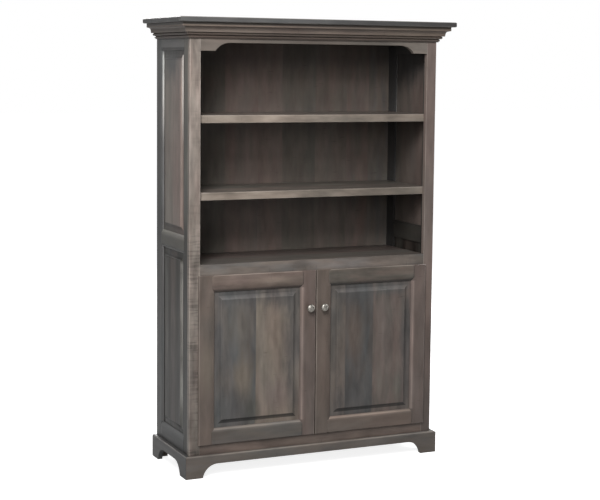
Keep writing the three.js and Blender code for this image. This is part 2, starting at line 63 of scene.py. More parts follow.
# The photograph's frame and the camera that was solved for it
FRAME_WIDTH = 600
FRAME_HEIGHT = 500
SENSOR_WIDTH = 36.0
FOCAL_PIXELS = 1479.3
CENTRE_PIXEL = (308.4, 210.0)
CAMERA_PLACE = (-2.5559, -5.5944, 1.6549)
CAMERA_YAW = -24.906
CAMERA_PITCH = -5.673
CAMERA_ROLL = 0.595

# Lamps as (place, width, watts). All of them shine at the middle of the object.
LAMP_AIM = (0.0, 0.0, 0.9)
LAMPS = {
    "key": ((-2.3, -3.5, 3.6), 1.4, 115),
    "low": ((-3.2, -4.2, 2.2), 1.4, 45),
    "near": ((-1.3, -1.8, 3.0), 0.8, 40),
    "rear": ((0.5, 4.6, 3.0), 1.8, 150),
    "right": ((4.6, 0.1, 2.8), 1.8, 200),
}

# World: its plain level on the object, and how a reflection finds it brighter toward the back and
# upward, as (from, to, least, most) of the direction's Y and Z
AMBIENT = 0.04
GLOSS_BEHIND = (-0.3, 0.5, 0.12, 1.0)
GLOSS_ABOVE = (-0.1, 0.5, 0.3, 1.0)

# Floor: its half width, its greys, and how its glow grows to white away from the object
FLOOR_REACH = 40.0
FLOOR_LIT_GREY = (0.3, 0.3, 0.3, 1)
FLOOR_SEEN_GREY = (0.6, 0.6, 0.6, 1)
FLOOR_MIRRORED_SHARE = 0.3
FLOOR_GLOW = 0.85
FLOOR_FADE = (1.2, 2.6)

# Stain tones, and the colours of rubbed edges (wear, and painted highlight), of tight corners (painted
# shade, and stain settled there) and of the pale lines that are painted highlights
TONES = {
    "ash": "90857b",
    "tan": "786e64",
    "taupe": "6c655f",
    "mauve": "6f635e",
    "brown": "6a5f58",
    "olive": "63615b",
    "slate": "575656",
    "cool": "606060",
    "umber": "584e48",
}
WEAR_AND_HIGHLIGHT = "b6ada4"
CORNER_SHADE_AND_STAIN = "2a2623"
PAINTED_HIGHLIGHT = "e2dfda"

# Metal colours
PEWTER_GREY = "a39f98"
NICKEL_GREY = "b9b8b2"

# Sockets of a Mix node that take and give its colours
MIX_FIRST = 6
MIX_SECOND = 7
MIX_RESULT = 2

# Grain directions: the axis along the grain and the axis across it
UPRIGHT = ("z", "x")
UPRIGHT_SIDE = ("z", "y")
LEVEL = ("x", "z")
LEVEL_SIDE = ("y", "z")
FLAT = ("x", "y")

# Parts of the wood's figure
FIGURE = ("Patch", "Blotch", "Streak", "Curl", "Fleck", "Drift")

# Noises of the figure, as (cells to a metre along, across and into the board), detail, roughness
NOISE_MIDDLE = 0.5
BEND_NOISE = ((3, 5, 5), 2, 0.5)
PATCH_NOISE = ((6, 27, 27), 2, 0.5)
BLOTCH_NOISE = ((7, 24, 24), 3, 0.55)
BROAD_STREAK_NOISE = ((6, 55, 55), 3, 0.5)
FINE_STREAK_NOISE = ((14, 420, 420), 2, 0.6)
CURLY_AREA_NOISE = ((8, 14, 14), 1, 0.5)
RIPPLE_NOISE = ((130, 9, 9), 2, 0.55)
FLECK_NOISE = ((260, 20, 20), 1, 0.5)
DRIFT_NOISE = ((2.2, 11, 11), 2, 0.5)

# Parts of a noise that show, as (none, full) or (none, full, least, most)
PATCH_SPAN = (0.40, 0.64)
CURLY_AREA_SPAN = (0.40, 0.60, 0.25, 1.0)
RIPPLE_SPAN = (0.50, 0.60)
FLECK_SPAN = (0.72, 0.80)
SEED_SHIFT = (7.31, 3.17, 5.73)
NEXT_BOARD_SEED = 0.37
GRAIN_BEND = 0.03
FINE_STREAK_SHARE = 0.2

# Stain over the figure: how much each part of it counts, and the hues it drifts between
BLOTCH_WEIGHT = 1.8
STREAK_WEIGHT = 0.6
FLECK_WEIGHT = -0.3
LEAST_LEVEL = 0.25
DRIFT_SPAN = (-0.2, 0.2)
WARM_TINT = (1.05, 0.99, 0.965, 1)
COOL_TINT = (0.965, 1.003, 1.0, 1)

# Lacquer: corners darkened as painted shade and settled stain, edges lightened in patches as wear and
# painted highlight, gloss and bump
CORNER_REACH = 0.003
CORNER_SPAN = (0.1, 0.55, 0.6, 0.0)
RUBBED_PATCH_SPAN = (-0.14, 0.10, 0.4, 1.0)
WOOD_ROUGHNESS = 0.42
STREAK_ROUGHNESS = 0.25
RIPPLE_HEIGHT = -0.25
ROUNDING = 0.0016
SURFACE_SAMPLES = 6
WOOD_BUMP = {"Distance": 0.0006, "Strength": 0.5}
WOOD_SHADER = {"Specular IOR Level": 0.3, "Coat Weight": 0.15, "Coat Roughness": 0.22}

# Spots of other stain: how much their outline wanders, and how they fade, as shares of their size
SPOT_WANDER = 1.5
SPOT_FADE = (1.2, 0.3)

# Curly figure is full in the lower part of a board and fades above it to a share of that
CURL_FADE = (0.6, 0.45)
CURL_LEFT_SHARE = 0.15

# Rubbed edges, lighter as wear and as painted highlight: how far in they reach, and how far a face has
# turned from square when it is an edge
RUB_REACH = 0.004
RUB_FULL_REACH = 0.001
EDGE_TURN = (0.97, 0.75)

# How the ends of bands and of pale lines fade
BAND_SOFTNESS = 0.001
LINE_START_FADE = 0.1
LINE_END_FADE = 0.01

# Lightness of the finish across moulded edges, as (distance from the piece's side, factor). It is the
# photograph's light and shade, put into the finish, and not a property of the stain. The factors were
# taken from the photograph's lightness along single lines across the edges, divided by a render's at
# the same places, and some were changed.
BAND_REACH = 0.05
BAND_TOP = 3.0
PANEL_BANDS = {
    "x-": [
        (0.0085, 1.3), (0.0125, 1.6), (0.017, 1.1), (0.021, 1.3), (0.027, 1.0), (0.034, 0.85),
        (0.041, 1.0)],
    "x+": [
        (0.0085, 1.15), (0.014, 1.25), (0.020, 1.1), (0.028, 0.85), (0.034, 0.64), (0.038, 0.8),
        (0.041, 1.0)],
    "z-": [
        (0.0085, 0.6), (0.0165, 0.5), (0.024, 0.38), (0.030, 0.27), (0.037, 0.24), (0.040, 0.6),
        (0.042, 1.0)],
    "z+": [
        (0.0085, 0.5), (0.0125, 0.95), (0.020, 1.25), (0.030, 1.45), (0.035, 1.6), (0.040, 1.3),
        (0.043, 1.0)],
}
SIDE_PANEL_BANDS = {
    "y-": [(0.0085, 1.0), (0.014, 1.1), (0.020, 1.2), (0.030, 1.2), (0.038, 1.05), (0.044, 1.0)],
    "y+": [(0.0085, 1.2), (0.014, 1.1), (0.020, 0.75), (0.038, 0.75), (0.048, 1.0)],
    "z-": [
        (0.0085, 1.1), (0.014, 0.9), (0.020, 0.46), (0.028, 0.38), (0.037, 0.4), (0.041, 0.8),
        (0.043, 1.0)],
    "z+": [(0.0085, 0.95), (0.020, 0.85), (0.030, 0.45), (0.038, 0.42), (0.043, 0.75), (0.046, 1.0)],
}
BRIGHT_RAIL = [(0.0, 1.4), (0.003, 1.9), (0.0065, 2.6), (0.0105, 1.5), (0.0145, 1.2), (0.018, 1.0)]
DARK_RAIL = [(0.0, 0.5), (0.004, 0.25), (0.008, 0.36), (0.012, 0.75), (0.020, 0.88), (0.028, 1.0)]
BRIGHT_STILE = [(0.0, 1.1), (0.0045, 1.3), (0.009, 1.95), (0.0135, 1.4), (0.018, 1.1), (0.022, 1.0)]
DARK_STILE = [(0.0, 1.0), (0.004, 0.9), (0.012, 0.88), (0.024, 0.95), (0.03, 1.0)]
SIDE_BRIGHT_STILE = [(0.0, 2.0), (0.012, 1.7), (0.024, 1.3), (0.036, 1.05), (0.048, 1.0)]
SIDE_DARK_STILE = [(0.0, 0.75), (0.013, 0.85), (0.022, 1.0)]
SIDE_BRIGHT_RAIL = [(0.0, 1.4), (0.006, 1.8), (0.014, 1.6), (0.022, 1.15), (0.028, 1.0)]
SIDE_DARK_RAIL = [(0.0, 0.7), (0.006, 0.6), (0.011, 0.5), (0.015, 1.0)]

# Pale lines of the side frames, which stand for highlights in the photograph: the height where the
# upper ones start, and how far the other ends stay from the rails
UPPER_LINE_BOTTOM = 1.42
UPPER_LINE_INSET = 0.012
LOWER_LINE_INSET = 0.04

# Painted light and shade inside the open bays, from the lowest bay up, at these shares of a bay's
# height, matched to the photograph's
BAY_SHARES = (0.1, 0.5, 0.95)
BAY_LIGHT_AND_SHADE = ((1.28, 1.1, 0.85), (1.06, 1.33, 0.88), (0.93, 1.36, 0.65))

# How far a shelf pin stands in from the side, less a little so that the wood's own face stays wood
PIN_PROJECTION = 0.009
PIN_MARGIN = 0.0001
PIN_ROUGHNESS = 0.32

# Cloudiness and dents of metal
CLOUD_NOISE = ((260, 260, 260), 3)
CLOUD_COLOR_SPAN = (0.35, 0.65)
CLOUD_ROUGHNESS_SPAN = (0.3, 0.7)
ROUGHNESS_BELOW = 0.06
ROUGHNESS_ABOVE = 0.08
DENT_NOISE = ((420, 420, 420), 1)
DENT_DEPTH = 0.0008

# Smoothing of the solids
SMOOTH_ANGLE = math.radians(36)
MERGE_DISTANCE = 1e-5
NORMAL_WEIGHT = 90

# Knob: its sizes, its outline below the dome as (radius, distance out), and the marks of the hammer. A
# spread below 1 sets the marks closer toward the middle of the dome.
KNOB_RADIUS = 0.0165
KNOB_PROJECTION = 0.027
KNOB_RIM = 0.0175
KNOB_RINGS = 18
KNOB_SIDES = 72
KNOB_BASE = [(0.0023, 0.0003), (0.0084, 0.0003), (0.009, 0.0008), (0.009, 0.0018), (0.0083, 0.0026)]
KNOB_NECK = [(0.0070, 0.003), (0.0061, 0.0041), (0.0057, 0.0060), (0.0057, 0.0082), (0.0062, 0.0100)]
KNOB_FLARE = [(0.0078, 0.0118), (0.0108, 0.0136), (0.0138, 0.0148), (0.0158, 0.0160), (0.0164, 0.0168)]
KNOB_MARK_COUNT = 64
KNOB_MARK_RADIUS = 0.0032
KNOB_MARK_DEPTH = 0.0007
KNOB_MARK_SPREAD = 0.7
GOLDEN_ANGLE = math.pi * (3 - math.sqrt(5))

# Screw heads of the hinges: their size, their rings and recess as shares of it, and how far they sit
# above and below the middle of the cup's flange and of the arm's plate
SCREW_RADIUS = 0.0036
SCREW_HEIGHT = 0.0012
SCREW_SIDES = 24
SCREW_RING_SHARES = [(1.0, 0.0), (1.0, 0.25), (0.93, 0.6), (0.78, 0.9), (0.68, 1.0)]
RECESS_SLOT_SHARE = 0.13
RECESS_REACH_SHARE = 0.5
RECESS_TAPER_SHARE = 0.8
RECESS_FLOOR_SHARE = 0.3
FLANGE_SCREW_REACH = 0.0235
PLATE_THICKNESS = 0.0018
PLATE_SCREW_REACH = 0.017


def linear(text, scale=1.0):
    """Linear RGBA of an sRGB hex colour, by the sRGB formula, made lighter or darker by a scale."""
    channels = [int(text[at:at + 2], 16) / 255 for at in (0, 2, 4)]
    values = [c / 12.92 if c <= 0.04045 else ((c + 0.055) / 1.055) ** 2.4 for c in channels]
    return (*[value * scale for value in values], 1.0)


def grey_stops(stops):
    """Ramp stops in grey, from (position, level) pairs."""
    return [(position, (level, level, level, 1)) for position, level in stops]


def link(item):
    """Puts a new object into the scene."""
    bpy.context.scene.collection.objects.link(item)


class Nodes:
    """Short calls that add and link the nodes of one shader tree."""

    def __init__(self, tree):
        self.tree = tree

    def feed(self, socket, value):
        if isinstance(value, bpy.types.NodeSocket):
            self.tree.links.new(value, socket)
        else:
            socket.default_value = value

    def add(self, kind, inputs=None, **settings):
        node = self.tree.nodes.new(kind)
        for key, value in settings.items():
            setattr(node, key, value)
        for key, value in (inputs or {}).items():
            self.feed(node.inputs[key], value)
        return node

    def math(self, operation, *values):
        return self.add("ShaderNodeMath", dict(enumerate(values)), operation=operation).outputs[0]

    def product(self, first, *others):
        for other in others:
            first = self.math("MULTIPLY", first, other)
        return first

    def vector(self, operation, *values):
        return self.add("ShaderNodeVectorMath", dict(enumerate(values)), operation=operation).outputs[0]

    def scaled(self, vector, factor):
        node = self.add("ShaderNodeVectorMath", {0: vector, "Scale": factor}, operation="SCALE")
        return node.outputs[0]

    def point(self, x=0.0, y=0.0, z=0.0):
        return self.add("ShaderNodeCombineXYZ", {0: x, 1: y, 2: z}).outputs[0]

    def parts(self, vector):
        return self.add("ShaderNodeSeparateXYZ", {0: vector}).outputs

    def length(self, vector):
        return self.add("ShaderNodeVectorMath", {0: vector}, operation="LENGTH").outputs["Value"]

    def noise(self, place, stretch, detail, roughness=0.5):
        stretched = self.vector("MULTIPLY", place, stretch)
        inputs = {"Vector": stretched, "Scale": 1.0, "Detail": detail, "Roughness": roughness}
        return self.add("ShaderNodeTexNoise", inputs).outputs["Fac"]

    def centred_noise(self, place, *settings):
        return self.math("SUBTRACT", self.noise(place, *settings), NOISE_MIDDLE)

    def span(self, value, low, high, to_low=0.0, to_high=1.0):
        inputs = {0: value, 1: low, 2: high, 3: to_low, 4: to_high}
        return self.add("ShaderNodeMapRange", inputs, clamp=True).outputs[0]

    def mix(self, share, first, second, blend="MIX"):
        inputs = {0: share, MIX_FIRST: first, MIX_SECOND: second}
        node = self.add("ShaderNodeMix", inputs, data_type="RGBA", blend_type=blend)
        return node.outputs[MIX_RESULT]

    def ramp(self, value, stops, interpolation="LINEAR"):
        node = self.add("ShaderNodeValToRGB", {0: value})
        node.color_ramp.interpolation = interpolation
        elements = node.color_ramp.elements
        while len(elements) > 1:
            elements.remove(elements[0])
        elements[0].position, elements[0].color = stops[0]
        for position, color in stops[1:]:
            elements.new(position).color = color
        return node.outputs["Color"]


def new_group(name, inputs, outputs):
    """Empty shader group with named sockets, given as {name: kind}, and its input and output nodes."""
    group = bpy.data.node_groups.new(name, "ShaderNodeTree")
    for socket, kind in inputs.items():
        group.interface.new_socket(socket, in_out="INPUT", socket_type="NodeSocket" + kind)
    for socket, kind in outputs.items():
        group.interface.new_socket(socket, in_out="OUTPUT", socket_type="NodeSocket" + kind)
    nodes = Nodes(group)
    return group, nodes, nodes.add("NodeGroupInput").outputs, nodes.add("NodeGroupOutput").inputs


def new_material(name):
    """Empty material and the calls that add its nodes."""
    material = bpy.data.materials.new(name)
    material.use_nodes = True
    material.node_tree.nodes.clear()
    return material, Nodes(material.node_tree)


def figure_group():
    """Figure of a maple board, from a place along, across and into the board.

    Patches are where the stain took differently. Blotch and streak run with the grain, curl is fine
    dark ripples across it, flecks are short dark checks across it, and drift is a slow change of hue.
    """
    group, nodes, given, made = new_group(
        "maple_figure",
        {"Place": "Vector", "Seed": "Float"},
        {name: "Float" for name in FIGURE},
    )

    place = nodes.vector("ADD", given["Place"], nodes.scaled(SEED_SHIFT, given["Seed"]))
    bend = nodes.product(nodes.centred_noise(place, *BEND_NOISE), GRAIN_BEND)
    place = nodes.vector("ADD", place, nodes.point(y=bend))

    nodes.feed(made["Patch"], nodes.span(nodes.noise(place, *PATCH_NOISE), *PATCH_SPAN))
    nodes.feed(made["Blotch"], nodes.centred_noise(place, *BLOTCH_NOISE))
    broad = nodes.centred_noise(place, *BROAD_STREAK_NOISE)
    fine = nodes.centred_noise(place, *FINE_STREAK_NOISE)
    nodes.feed(made["Streak"], nodes.math("MULTIPLY_ADD", fine, FINE_STREAK_SHARE, broad))
    curly_area = nodes.span(nodes.noise(place, *CURLY_AREA_NOISE), *CURLY_AREA_SPAN)
    ripple = nodes.span(nodes.noise(place, *RIPPLE_NOISE), *RIPPLE_SPAN)
    nodes.feed(made["Curl"], nodes.product(ripple, curly_area))
    nodes.feed(made["Fleck"], nodes.span(nodes.noise(place, *FLECK_NOISE), *FLECK_SPAN))
    nodes.feed(made["Drift"], nodes.centred_noise(place, *DRIFT_NOISE))
    return group


def finish_group():
    """Stain and lacquer over the tones of a board: its figure, corners darkened as painted shade and settled
    stain, and edges lightened as wear and painted highlight.
    """
    inputs = {"Base": "Color", "Second": "Color"}
    inputs.update({name: "Float" for name in FIGURE})
    inputs.update({name: "Float" for name in ("Patches", "Contrast", "Curliness", "Rubbed", "Wear")})
    outputs = {"Color": "Color", "Roughness": "Float", "Normal": "Vector"}
    group, nodes, given, made = new_group("maple_finish", inputs, outputs)

    base = nodes.mix(nodes.product(given["Patch"], given["Patches"]), given["Base"], given["Second"])
    level = 1.0
    for part, weight in (("Blotch", BLOTCH_WEIGHT), ("Streak", STREAK_WEIGHT)):
        level = nodes.math("MULTIPLY_ADD", given[part], nodes.product(given["Contrast"], weight), level)
    level = nodes.math("SUBTRACT", level, nodes.product(given["Curl"], given["Curliness"]))
    level = nodes.math("MULTIPLY_ADD", given["Fleck"], FLECK_WEIGHT, level)
    color = nodes.scaled(base, nodes.math("MAXIMUM", level, LEAST_LEVEL))
    tint = nodes.mix(nodes.span(given["Drift"], *DRIFT_SPAN), WARM_TINT, COOL_TINT)
    color = nodes.mix(1.0, color, tint, "MULTIPLY")

    # Painted shade, and stain settled there: darker within a few millimetres of a corner
    corner = nodes.add("ShaderNodeAmbientOcclusion", {"Distance": CORNER_REACH}, samples=SURFACE_SAMPLES)
    color = nodes.mix(nodes.span(corner.outputs["AO"], *CORNER_SPAN), color, linear(CORNER_SHADE_AND_STAIN))
    # Edges lightened in patches, as wear and as painted highlight
    patchy = nodes.span(given["Blotch"], *RUBBED_PATCH_SPAN)
    wear_and_highlight = nodes.product(given["Rubbed"], patchy, given["Wear"])
    nodes.feed(made["Color"], nodes.mix(wear_and_highlight, color, linear(WEAR_AND_HIGHLIGHT)))

    roughness = nodes.math("MULTIPLY_ADD", given["Streak"], STREAK_ROUGHNESS, WOOD_ROUGHNESS)
    nodes.feed(made["Roughness"], roughness)
    height = nodes.math("MULTIPLY_ADD", given["Curl"], RIPPLE_HEIGHT, given["Streak"])
    rounded = nodes.add("ShaderNodeBevel", {"Radius": ROUNDING}, samples=SURFACE_SAMPLES).outputs[0]
    bump = nodes.add("ShaderNodeBump", {"Height": height, "Normal": rounded, **WOOD_BUMP})
    nodes.feed(made["Normal"], bump.outputs[0])
    return group


FIGURE_GROUP = figure_group()
FINISH_GROUP = finish_group()


def one(tone, second="cool", scale=1.0):
    """A piece that is one board."""
    return [(0, tone, second, scale)]


def board_stops(boards, pick, softness):
    """Ramp stops of boards side by side, in the first (0) or the second (1) of their two tones."""
    stops = []
    for at, (start, *tones, scale) in enumerate(boards):
        color = linear(TONES[tones[pick]], scale)
        stops.append((start + softness if at > 0 else 0.0, color))
        if at + 1 < len(boards):
            stops.append((boards[at + 1][0] - softness, color))
    return stops


def stronger(stops, share):
    """Bands whose factors differ more from 1."""
    return [(distance, 1 + share * (factor - 1)) for distance, factor in stops]


class Stain:
    """The two stain colours of a wooden piece, worked out over its box and its grain.

    Across and lengthways run from 0 to 1 over the piece. The outer half is the half of its thickness
    that is away from the middle of the case.
    """

    def __init__(self, nodes, node, grain):
        self.nodes = nodes
        self.low, self.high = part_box(node)
        coordinates = nodes.add("ShaderNodeTexCoord").outputs
        self.place = nodes.parts(coordinates["Object"])
        self.normal = coordinates["Normal"]
        self.run, self.width = (AXES.index(letter) for letter in grain)
        self.deep = next(axis for axis in range(len(AXES)) if axis not in (self.run, self.width))
        self.across = self.share_along(self.width)
        self.lengthways = self.share_along(self.run)
        middle = (abs(self.low[self.deep]) + abs(self.high[self.deep])) / 2
        depth = nodes.math("ABSOLUTE", self.place[self.deep])
        self.outer_half = nodes.math("GREATER_THAN", depth, middle)
        self.colors = []

    def share_along(self, axis):
        return self.nodes.span(self.place[axis], self.low[axis], self.high[axis])

    def distance(self, side):
        """Distance from a side of the piece's box, such as "x-" or "z+"."""
        axis = AXES.index(side[0])
        if side[1] == "-":
            return self.nodes.math("SUBTRACT", self.place[axis], self.low[axis])
        return self.nodes.math("SUBTRACT", self.high[axis], self.place[axis])

    def between(self, start, end, start_fade, end_fade):
        """1 between two places along the grain and 0 beyond them."""
        along = self.place[self.run]
        after_start = self.nodes.span(along, start - start_fade, start + start_fade)
        before_end = self.nodes.span(along, end + end_fade, end - end_fade)
        return self.nodes.product(after_start, before_end)

    def mix_in(self, share, color):
        self.colors = [self.nodes.mix(share, old, color) for old in self.colors]

    def levelled(self, levels):
        """The colours, lighter or darker along the grain by (share, scale) stops."""
        level = self.nodes.ramp(self.lengthways, grey_stops(levels), "EASE")
        return [self.nodes.vector("MULTIPLY", color, level) for color in self.colors]

    def paint_inside_light_and_shade(self, levels):
        """Paints light and shade on the half toward the middle of the case alone, lighter or darker along the
        grain.
        """
        pairs = zip(self.levelled(levels), self.colors)
        self.colors = [self.nodes.mix(self.outer_half, inner, outer) for inner, outer in pairs]

    def figure(self, boards, seed):
        """The figure's outputs, with another seed for each board of the piece."""
        nodes = self.nodes
        for start, *_ in boards[1:]:
            passed = nodes.math("GREATER_THAN", self.across, start)
            seed = nodes.math("MULTIPLY_ADD", passed, NEXT_BOARD_SEED, seed)
        place = nodes.point(self.place[self.run], self.place[self.width], self.place[self.deep])
        return nodes.add("ShaderNodeGroup", {"Place": place, "Seed": seed}, node_tree=FIGURE_GROUP).outputs

    def lay(self, boards, softness):
        """The tones of boards side by side."""
        self.colors = [
            self.nodes.ramp(self.across, board_stops(boards, pick, softness)) for pick in (0, 1)]

    def add_spot(self, blotch, right, up, half_width, half_height, tone, scale, strength):
        nodes = self.nodes
        u = nodes.math("DIVIDE", nodes.math("SUBTRACT", self.across, right), half_width)
        v = nodes.math("DIVIDE", nodes.math("SUBTRACT", self.lengthways, up), half_height)
        reach = nodes.math("MULTIPLY_ADD", blotch, SPOT_WANDER, nodes.length(nodes.point(u, v)))
        self.mix_in(nodes.span(reach, *SPOT_FADE, 0.0, strength), linear(TONES[tone], scale))

    def add_light_and_shade_bands(self, bands, within):
        """Bands of painted light and shade along the moulded sides of the outer half. Where two sides meet,
        the nearer one counts.
        """
        nodes = self.nodes
        distances = {side: self.distance(side) for side in bands}
        nearest = BAND_REACH
        for distance in distances.values():
            nearest = nodes.math("MINIMUM", nearest, distance)
        for side, stops in bands.items():
            stops = [(distance / BAND_REACH, factor / BAND_TOP) for distance, factor in stops]
            level = nodes.ramp(nodes.math("DIVIDE", distances[side], BAND_REACH), grey_stops(stops))
            beyond = nodes.math("SUBTRACT", distances[side], nearest)
            share = nodes.product(nodes.span(beyond, BAND_SOFTNESS, 0.0), self.outer_half)
            if within:
                share = nodes.product(share, self.between(*within, BAND_SOFTNESS, BAND_SOFTNESS))
            self.colors = [
                nodes.mix(share, color, nodes.scaled(nodes.vector("MULTIPLY", color, level), BAND_TOP))
                for color in self.colors]

    # A pale line that is a painted highlight, along a side of the outer half
    def add_painted_highlight(self, side, distance, half_width, start, end, strength):
        nodes = self.nodes
        away = nodes.math("ABSOLUTE", nodes.math("SUBTRACT", self.distance(side), distance))
        share = nodes.span(away, half_width, 0.0, 0.0, strength)
        length = self.between(start, end, LINE_START_FADE, LINE_END_FADE)
        self.mix_in(nodes.product(share, length, self.outer_half), linear(PAINTED_HIGHLIGHT))

    def rubbed(self, sides):
        """1 on the rounded edges of the named sides and 0 elsewhere. These edges are lightened as wear and as
        painted highlight.
        """
        nodes = self.nodes
        normal = nodes.parts(self.normal)
        rubbed = 0.0
        for side in sides:
            near = nodes.span(self.distance(side), RUB_REACH, RUB_FULL_REACH)
            square = nodes.math("ABSOLUTE", normal[AXES.index(side[0])])
            rubbed = nodes.math("MAXIMUM", rubbed, nodes.product(near, nodes.span(square, *EDGE_TURN)))
        return rubbed

    def with_pins(self, shader):
        """The shader, with nickel where shelf pins stand out of the inside of a side stile."""
        nodes = self.nodes
        nickel = {"Base Color": linear(NICKEL_GREY), "Metallic": 1.0, "Roughness": PIN_ROUGHNESS}
        metal = nodes.add("ShaderNodeBsdfPrincipled", nickel)
        pin_end = min(abs(self.low[0]), abs(self.high[0])) + PIN_PROJECTION - PIN_MARGIN
        pin = nodes.math("LESS_THAN", nodes.math("ABSOLUTE", self.place[0]), pin_end)
        return nodes.add("ShaderNodeMixShader", {0: pin, 1: shader.outputs[0], 2: metal.outputs[0]})


def wood(node, grain, boards, seed, along=None, spots=(), soft=0.004, patches=0.4, contrast=0.45, curl=0.0,
         bands=None, within=None, lines=(), inside=None, rub=(), wear=0.45, pins=False):
    """Material of one wooden piece.

    boards are its boards across the grain, as (share where it starts, tone, second tone, scale), and
    soft is how softly they meet. patches is how much the second tone shows, contrast how strong the
    figure is, and curl how dark its ripples are. along is its lightness along the grain as (share,
    scale), which on some pieces is painted light and shade. spots are places where the stain is
    different, as (share across, share along, half width, half height, tone, scale, strength). bands are
    painted light and shade across the moulded edges, and within is how far along the piece they run.
    lines are painted highlights, as (side, distance from it, half width, start and end along the grain,
    strength). Bands and lines are on the outer half alone, and inside is painted light and shade along
    the other half. rub names the sides whose edges are made lighter, as wear and as painted highlight,
    given as "x-" or "z+", and wear is how much. pins shows the shelf pins of a side stile as nickel.
    """
    material, nodes = new_material(node + "_wood")
    stain = Stain(nodes, node, grain)
    figure = stain.figure(boards, seed)
    stain.lay(boards, soft)
    for spot in spots:
        stain.add_spot(figure["Blotch"], *spot)
    if along:
        stain.colors = stain.levelled(along)
    if bands:
        stain.add_light_and_shade_bands(bands, within)
    for line in lines:
        stain.add_painted_highlight(*line)
    if inside:
        stain.paint_inside_light_and_shade(inside)

    inputs = dict(zip(("Base", "Second"), stain.colors))
    inputs.update({name: figure[name] for name in FIGURE})
    inputs.update({"Patches": patches, "Contrast": contrast, "Wear": wear})
    if curl:
        inputs["Curliness"] = nodes.span(stain.lengthways, *CURL_FADE, curl * CURL_LEFT_SHARE, curl)
    if rub:
        inputs["Rubbed"] = stain.rubbed(rub)
    finish = nodes.add("ShaderNodeGroup", inputs, node_tree=FINISH_GROUP).outputs
    surface = {"Base Color": finish["Color"], "Roughness": finish["Roughness"], "Normal": finish["Normal"]}
    shader = nodes.add("ShaderNodeBsdfPrincipled", {**surface, **WOOD_SHADER})
    if pins:
        shader = stain.with_pins(shader)
    nodes.add("ShaderNodeOutputMaterial", {"Surface": shader.outputs[0]})
    return material


def side_boards(side):
    """Settings of the frame and panels of one side of the case."""
    prefix = f"side_{side}_"
    bottom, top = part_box(prefix + "bottom_rail")[1][2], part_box(prefix + "top_rail")[0][2]
    whole = (bottom, top)
    upper = (UPPER_LINE_BOTTOM, top - UPPER_LINE_INSET)
    lower = (bottom + LOWER_LINE_INSET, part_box(prefix + "middle_rail")[0][2] - LOWER_LINE_INSET)
    # Bands and lines paint light and shade. The along lists darken the lower part of a side and the inside
    # lists its inner half: painted shade.
    parts = {
        "front_stile": dict(
            grain=UPRIGHT_SIDE, boards=one("olive", "cool", 0.88), bands={"y+": SIDE_DARK_STILE},
            within=whole, along=[(0, 0.24), (0.5, 0.3), (0.6, 1)], rub=("y-",), inside=[(0, 0.5)], pins=True),
        "back_stile": dict(
            grain=UPRIGHT_SIDE, boards=one("cool", "slate", 0.72), bands={"y-": SIDE_BRIGHT_STILE},
            within=whole, along=[(0, 0.65), (0.5, 0.72), (0.62, 0.9), (1, 1)],
            lines=[("y-", 0.0, 0.010, *upper, 0.65)], inside=[(0, 0.55)], pins=True),
        "top_rail": dict(
            grain=LEVEL_SIDE, boards=one("cool", "olive", 1.05), bands={"z-": SIDE_DARK_RAIL},
            inside=[(0, 0.55)]),
        "middle_rail": dict(
            grain=LEVEL_SIDE, boards=one("olive", "cool", 0.74), inside=[(0, 0.4)],
            bands={"z-": SIDE_DARK_RAIL, "z+": stronger(SIDE_BRIGHT_RAIL, 1.5)}),
        "bottom_rail": dict(
            grain=LEVEL_SIDE, boards=one("cool", "slate", 0.34), inside=[(0, 0.8)],
            bands={"z+": stronger(SIDE_BRIGHT_RAIL, 2.2)}),
        "upper_panel": dict(
            grain=UPRIGHT_SIDE, boards=[(0, "mauve", "taupe", 1.42), (0.5, "taupe", "mauve", 1.42)],
            spots=[(0.5, 0.97, 0.8, 0.16, "cool", 0.8, 0.9)], soft=0.1, bands=SIDE_PANEL_BANDS,
            inside=[(0, 0.45)],
            lines=[("y-", 0.027, 0.012, *upper, 1.0), ("y+", 0.0085, 0.012, *upper, 0.95)]),
        "lower_panel": dict(
            grain=UPRIGHT_SIDE, boards=[
                (0, "olive", "umber", 0.5), (0.2, "umber", "olive", 0.25), (0.36, "brown", "umber", 0.5),
                (0.58, "umber", "brown", 0.25), (0.7, "olive", "umber", 0.62), (0.92, "umber", "olive", 0.3)],
            along=[(0, 0.55), (0.25, 0.7), (0.6, 0.95), (1, 1)], contrast=0.9, soft=0.05,
            bands=SIDE_PANEL_BANDS, inside=[(0, 0.6)],
            lines=[("y-", 0.030, 0.016, *lower, 0.35), ("y+", 0.0085, 0.013, *lower, 0.12)]),
    }
    return {prefix + part: settings for part, settings in parts.items()}
